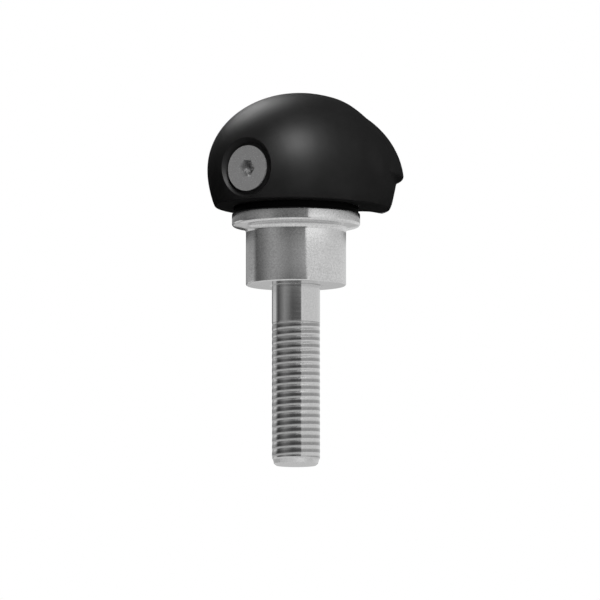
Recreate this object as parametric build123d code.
from build123d import *
import math
import os

# Frame slider for a motorcycle: a moulded nylon head on a flanged aluminium spacer,
# held to the bike's frame by one long M12 bolt that runs down through both.
# Millimetres. The origin is the centre of the spacer's lower face, the one that
# seats on the bike, +Z runs up the bolt towards the head, and the nose with its
# side screw points along -Y.

# Mounting bolt, a socket head cap screw M12 x 65 with its standard proportions
BOLT_R = 6.0
BOLT_LENGTH = 65.0
BOLT_HEAD_R = 9.0
BOLT_HEAD_HEIGHT = 12.0
BOLT_SOCKET_AF = 10.0
BOLT_SOCKET_DEPTH = 6.0
BOLT_SEAT_Z = 20.0
BOLT_THREAD_R = 5.98
BOLT_SHANK_LOW_Z = -9.3
BOLT_RUNOUT_LENGTH = 1.0
BOLT_RUNOUT_R = 5.5
BOLT_POINT_CHAMFER = 1.0
BOLT_HEAD_CHAMFER = 0.8

# Flanged spacer, one turned piece: body, flange and the spigot that the head sits on
BODY_R = 12.5
BODY_EDGE = 0.4
FLANGE_R = 16.0
FLANGE_TOP_Z = 18.15
FLANGE_WALL_Z = 15.6
FLANGE_TOP_ROUND = 0.5
FLANGE_LOW_ROUND = 0.75
UNDERSIDE_ROUND = 1.3
UNDERSIDE_INNER_R = 13.5
UNDERSIDE_INNER_Z = 14.45
SPIGOT_R = 13.3
SPIGOT_TOP_Z = 33.6
SPIGOT_CHAMFER = 0.8
SPACER_BORE_R = 6.25
COUNTERBORE_R = 9.3
BORE_CHAMFER = 0.5
SIDE_HOLE_LENGTH = 8.0

# Seat ring between the flange and the head
RING_R = 15.6
RING_INNER_R = 13.4
RING_EDGE = 0.25

# Slider head: level outlines of two half ellipses, widest at one level, with an
# elliptical profile up to the crown and a shallower one down the skirt. Above the
# widest level the rear draws in, and the hood covers what it leaves. Near the top the
# rear reaches back again, so that the crown runs on into the hood.
HEAD_BASE_Z = 19.7
WIDEST_Z = 28.9
HEAD_CENTRE_Y = 2.8
HEAD_HALF_WIDTH = 22.3
NOSE_REACH = 26.5
CROWN_RISE = 19.6
REAR_REACH = 20.2
REAR_BLEND_ANGLE = 40.0
SHOULDER_REACH = 5.1
SHOULDER_FROM_ANGLE = 48.0
SHOULDER_TO_ANGLE = 74.0
SKIRT_DROP = 23.5
SKIRT_STEPS = 3
CROWN_ANGLES = [0, 10, 20, 30, 40, 50, 60, 70, 78, 84, 87]
BASE_ROUND = 0.4

# Raised hood round the head's rear: a tilted ellipsoid cut off level above the skirt
HOOD_CENTRE_Y = 9.5
HOOD_CENTRE_Z = 27.08
HOOD_HALF_WIDTH = 21.62
HOOD_REACH = 22.6
HOOD_RISE = 19.45
HOOD_TILT = -16.6
HOOD_LOW_Z = 27.2
HOOD_EDGE = 1.2
HOOD_BLEND = 2.0

# Pocket moulded into the head's rear, under the hood
POCKET_WIDTH = 20.0
POCKET_FRONT_Y = 16.6
POCKET_TOP_Z = 25.0
POCKET_ARCH_RISE = 3.0
POCKET_CORNER = 3.0

# Bore in the head for the spigot
HEAD_BORE_R = 13.4
HEAD_BORE_TOP_Z = 34.4
HEAD_BORE_ROUND = 1.0

# Retaining screw, a countersunk M6 x 12 with a hexagon socket, in the nose
SCREW_Z = 27.35
SCREW_FACE_Y = 21.97
SCREW_HEAD_R = 5.65
SCREW_LAND = 0.45
SCREW_R = 3.0
SCREW_LENGTH = 12.0
SCREW_SOCKET_AF = 4.0
SCREW_SOCKET_DEPTH = 2.5
SCREW_CLEARANCE_R = 3.2
SCREW_TIP_CHAMFER = 0.6
SOCKET_POINT_R = 0.01
SOCKET_POINT_SLOPE = 0.6

# Recess round the retaining screw: a chamfered mouth and a counterbore
RECESS_MOUTH_R = 7.45
RECESS_MOUTH_Y = 22.2
RECESS_R = 6.42
RECESS_LIP_Y = 21.05
RECESS_FLOOR_Y = 20.6
RECESS_RUN_OUT = 4.0

# Longer than the whole object, for forms that cut right through it
FAR = 60.0

# Two radii nearer than this are taken as the same one
SAME_RADIUS = 0.01


def ellipsoid(half_x, half_y, half_z):
    """A solid ellipsoid centred on the origin."""
    unit = 10.0
    return scale(Sphere(unit), by=(half_x / unit, half_y / unit, half_z / unit))


def slab(x0, x1, y0, y1, z0, z1):
    """A box given by its limits, used to keep or remove one side of a form."""
    middle = ((x0 + x1) / 2, (y0 + y1) / 2, (z0 + z1) / 2)
    return Pos(*middle) * Box(x1 - x0, y1 - y0, z1 - z0)


def turned(points_and_arcs):
    """Revolve a closed half profile, drawn in the XZ plane, about the Z axis."""
    return revolve(make_face(Plane.XZ * points_and_arcs), Axis.Z)


def hexagon_rod(across_flats, length):
    """A hexagonal rod standing on the XY plane, with flats facing +Y and -Y."""
    corner_r = across_flats / math.sqrt(3)
    return extrude(RegularPolygon(corner_r, 6), length)


def eased(share):
    """Falls smoothly from 1 to 0 as share goes from 0 to 1, and is level outside that."""
    share = min(max(share, 0.0), 1.0)
    return 1 - 3 * share**2 + 2 * share**3


def head_section(angle):
    """One level outline of the head. The angle runs up the crown (+) or down the skirt (-)."""
    rise = CROWN_RISE if angle >= 0 else SKIRT_DROP
    shrink = math.cos(math.radians(angle))
    z = WIDEST_Z + rise * math.sin(math.radians(angle))
    fullness = eased(angle / REAR_BLEND_ANGLE)
    climb = (angle - SHOULDER_FROM_ANGLE) / (SHOULDER_TO_ANGLE - SHOULDER_FROM_ANGLE)
    shoulder = SHOULDER_REACH * (1 - eased(climb))
    rear = (REAR_REACH + (NOSE_REACH - REAR_REACH) * fullness) * shrink + shoulder
    width = HEAD_HALF_WIDTH * shrink
    front_arc = EllipticalCenterArc((0, 0), width, NOSE_REACH * shrink, start_angle=180, arc_size=180)
    rear_arc = EllipticalCenterArc((0, 0), width, rear, start_angle=0, arc_size=180)
    return Pos(0, HEAD_CENTRE_Y, z) * make_face(front_arc + rear_arc)


def head_outside():
    """The moulded outside, a smooth loft through level outlines from the base to the crown."""
    base_angle = -math.degrees(math.asin((WIDEST_Z - HEAD_BASE_Z) / SKIRT_DROP))
    skirt = [base_angle * step / SKIRT_STEPS for step in range(SKIRT_STEPS, 0, -1)]
    form = loft([head_section(angle) for angle in skirt + CROWN_ANGLES])
    return fillet(form.edges().group_by(Axis.Z)[0], BASE_ROUND)


def head_hood():
    """The raised hood that wraps round the rear of the head."""
    form = Rot(X=HOOD_TILT) * ellipsoid(HOOD_HALF_WIDTH, HOOD_REACH, HOOD_RISE)
    form = Pos(0, HOOD_CENTRE_Y, HOOD_CENTRE_Z) * form
    form = form & slab(-FAR, FAR, -FAR, FAR, HOOD_LOW_Z, FAR)
    return fillet(form.edges().group_by(Axis.Z)[0], HOOD_EDGE)


def hood_crease(form):
    """The long edge where the hood runs out of the dome."""
    behind = [e for e in form.edges() if e.bounding_box().min.Y > HOOD_CENTRE_Y - HOOD_BLEND]
    return max(behind, key=lambda e: e.bounding_box().max.Z)


def rear_pocket():
    """The pocket under the hood: straight sides, an arched roof, open at the rear and below."""
    half = POCKET_WIDTH / 2
    spring_z = POCKET_TOP_Z - POCKET_ARCH_RISE
    outline = Polyline((-half, spring_z), (-half, 0), (half, 0), (half, spring_z))
    roof = ThreePointArc((half, spring_z), (0, POCKET_TOP_Z), (-half, spring_z))
    face = make_face(Plane.XZ * (outline + roof))
    pocket = Pos(0, POCKET_FRONT_Y + FAR, 0) * extrude(face, FAR)
    front_edges = pocket.edges().group_by(Axis.Y)[0]
    return fillet(front_edges.sort_by(Axis.Z)[1:], POCKET_CORNER)


def nose_cut():
    """Everything cut into the nose for the screw, turned about the screw's axis."""
    cone_top = SCREW_FACE_Y - SCREW_LAND
    cone_r = SCREW_HEAD_R - (cone_top - RECESS_FLOOR_Y)
    neck_y = RECESS_FLOOR_Y - (cone_r - SCREW_CLEARANCE_R)
    mouth_slope = (RECESS_MOUTH_R - RECESS_R) / (RECESS_MOUTH_Y - RECESS_LIP_Y)
    out_y = RECESS_MOUTH_Y + RECESS_RUN_OUT
    outline = Polyline(
        (0, 0),
        (SCREW_CLEARANCE_R, 0),
        (SCREW_CLEARANCE_R, neck_y),
        (cone_r, RECESS_FLOOR_Y),
        (RECESS_R, RECESS_FLOOR_Y),
        (RECESS_R, RECESS_LIP_Y),
        (RECESS_MOUTH_R + mouth_slope * RECESS_RUN_OUT, out_y),
        (0, out_y),
        (0, 0),
    )
    return Pos(0, 0, SCREW_Z) * Rot(X=90) * turned(outline)


def head_bore():
    """The blind bore in the head that slides over the spigot."""
    bore = Cylinder(HEAD_BORE_R, HEAD_BORE_TOP_Z, align=(Align.CENTER, Align.CENTER, Align.MIN))
    return fillet(bore.edges().group_by(Axis.Z)[-1], HEAD_BORE_ROUND)


def slider_head():
    """The moulded head with its hood, spigot bore, screw recess and rear pocket."""
    form = head_outside() + head_hood()
    form = fillet(hood_crease(form), HOOD_BLEND)
    return form - head_bore() - nose_cut() - rear_pocket()


def flanged_spacer():
    """The turned spacer: body, flange, spigot, stepped bore and the tapped side hole."""
    slope = math.atan2(FLANGE_WALL_Z - FLANGE_LOW_ROUND - UNDERSIDE_INNER_Z, FLANGE_R - UNDERSIDE_INNER_R)
    low_corner_z = UNDERSIDE_INNER_Z + (FLANGE_R - UNDERSIDE_INNER_R) * math.tan(slope)
    outline = Polyline(
        (SPACER_BORE_R + BORE_CHAMFER, 0),
        (BODY_R, 0),
        (BODY_R, UNDERSIDE_INNER_Z - (UNDERSIDE_INNER_R - BODY_R) * math.tan(slope)),
        (FLANGE_R, low_corner_z),
        (FLANGE_R, FLANGE_TOP_Z),
        (SPIGOT_R, FLANGE_TOP_Z),
        (SPIGOT_R, SPIGOT_TOP_Z - SPIGOT_CHAMFER),
        (SPIGOT_R - SPIGOT_CHAMFER, SPIGOT_TOP_Z),
        (COUNTERBORE_R + BORE_CHAMFER, SPIGOT_TOP_Z),
        (COUNTERBORE_R, SPIGOT_TOP_Z - BORE_CHAMFER),
        (COUNTERBORE_R, BOLT_SEAT_Z),
        (SPACER_BORE_R, BOLT_SEAT_Z),
        (SPACER_BORE_R, BORE_CHAMFER),
        (SPACER_BORE_R + BORE_CHAMFER, 0),
    )
    spacer = turned(outline)

    def ring_edge(radius, z):
        """The round edge of that radius nearest to that height."""
        rings = spacer.edges().filter_by(GeomType.CIRCLE)
        rings = [e for e in rings if abs(e.radius - radius) < SAME_RADIUS]
        return min(rings, key=lambda e: abs(e.center().Z - z))

    spacer = fillet(ring_edge(BODY_R, UNDERSIDE_INNER_Z), UNDERSIDE_ROUND)
    spacer = fillet(ring_edge(FLANGE_R, low_corner_z), FLANGE_LOW_ROUND)
    spacer = fillet(ring_edge(FLANGE_R, FLANGE_TOP_Z), FLANGE_TOP_ROUND)
    spacer = fillet(ring_edge(BODY_R, 0), BODY_EDGE)
    hole_y = -(COUNTERBORE_R + SPIGOT_R) / 2
    side_hole = Pos(0, hole_y, SCREW_Z) * Rot(X=90) * Cylinder(SCREW_R, SIDE_HOLE_LENGTH)
    return spacer - side_hole


def seat_ring():
    """The flat ring that the head rests on, between its underside and the flange."""
    thickness = HEAD_BASE_Z - FLANGE_TOP_Z
    outer = Cylinder(RING_R, thickness, align=(Align.CENTER, Align.CENTER, Align.MIN))
    outer = fillet(outer.edges().filter_by(GeomType.CIRCLE), RING_EDGE)
    inner = Cylinder(RING_INNER_R, thickness, align=(Align.CENTER, Align.CENTER, Align.MIN))
    return Pos(0, 0, FLANGE_TOP_Z) * (outer - inner)


def mounting_bolt():
    """The M12 bolt: socket head inside the spigot, shank, run-out groove and threaded end."""
    head_top = BOLT_SEAT_Z + BOLT_HEAD_HEIGHT
    tip = BOLT_SEAT_Z - BOLT_LENGTH
    thread_top = BOLT_SHANK_LOW_Z - BOLT_RUNOUT_LENGTH
    outline = Polyline(
        (0, tip),
        (BOLT_THREAD_R - BOLT_POINT_CHAMFER, tip),
        (BOLT_THREAD_R, tip + BOLT_POINT_CHAMFER),
        (BOLT_THREAD_R, thread_top),
        (BOLT_RUNOUT_R, thread_top),
        (BOLT_RUNOUT_R, BOLT_SHANK_LOW_Z),
        (BOLT_R, BOLT_SHANK_LOW_Z),
        (BOLT_R, BOLT_SEAT_Z),
        (BOLT_HEAD_R, BOLT_SEAT_Z),
        (BOLT_HEAD_R, head_top - BOLT_HEAD_CHAMFER),
        (BOLT_HEAD_R - BOLT_HEAD_CHAMFER, head_top),
        (0, head_top),
        (0, tip),
    )
    socket = Pos(0, 0, head_top - BOLT_SOCKET_DEPTH) * hexagon_rod(BOLT_SOCKET_AF, FAR)
    return turned(outline) - socket


def retaining_screw():
    """The countersunk screw that holds the head to the spigot, its head facing -Y."""
    cone_top = SCREW_FACE_Y - SCREW_LAND
    neck = cone_top - (SCREW_HEAD_R - SCREW_R)
    tip = SCREW_FACE_Y - SCREW_LENGTH
    outline = Polyline(
        (0, tip),
        (SCREW_R - SCREW_TIP_CHAMFER, tip),
        (SCREW_R, tip + SCREW_TIP_CHAMFER),
        (SCREW_R, neck),
        (SCREW_HEAD_R, cone_top),
        (SCREW_HEAD_R, SCREW_FACE_Y),
        (0, SCREW_FACE_Y),
        (0, tip),
    )
    corner_r = SCREW_SOCKET_AF / math.sqrt(3)
    floor_y = SCREW_FACE_Y - SCREW_SOCKET_DEPTH
    socket = Pos(0, 0, floor_y) * hexagon_rod(SCREW_SOCKET_AF, FAR)
    drop = corner_r * SOCKET_POINT_SLOPE
    point = Cone(corner_r, SOCKET_POINT_R, drop, align=(Align.CENTER, Align.CENTER, Align.MIN))
    point = Pos(0, 0, floor_y) * Rot(X=180) * point
    point = point & Pos(0, 0, floor_y - FAR) * hexagon_rod(SCREW_SOCKET_AF, FAR)
    return Pos(0, 0, SCREW_Z) * Rot(X=90) * (turned(outline) - socket - point)


PIECES = {
    "slider_head": slider_head,
    "seat_ring": seat_ring,
    "flanged_spacer": flanged_spacer,
    "mounting_bolt": mounting_bolt,
    "retaining_screw": retaining_screw,
}

os.makedirs("parts", exist_ok=True)
for name, make in PIECES.items():
    export_step(make(), f"parts/{name}.step")
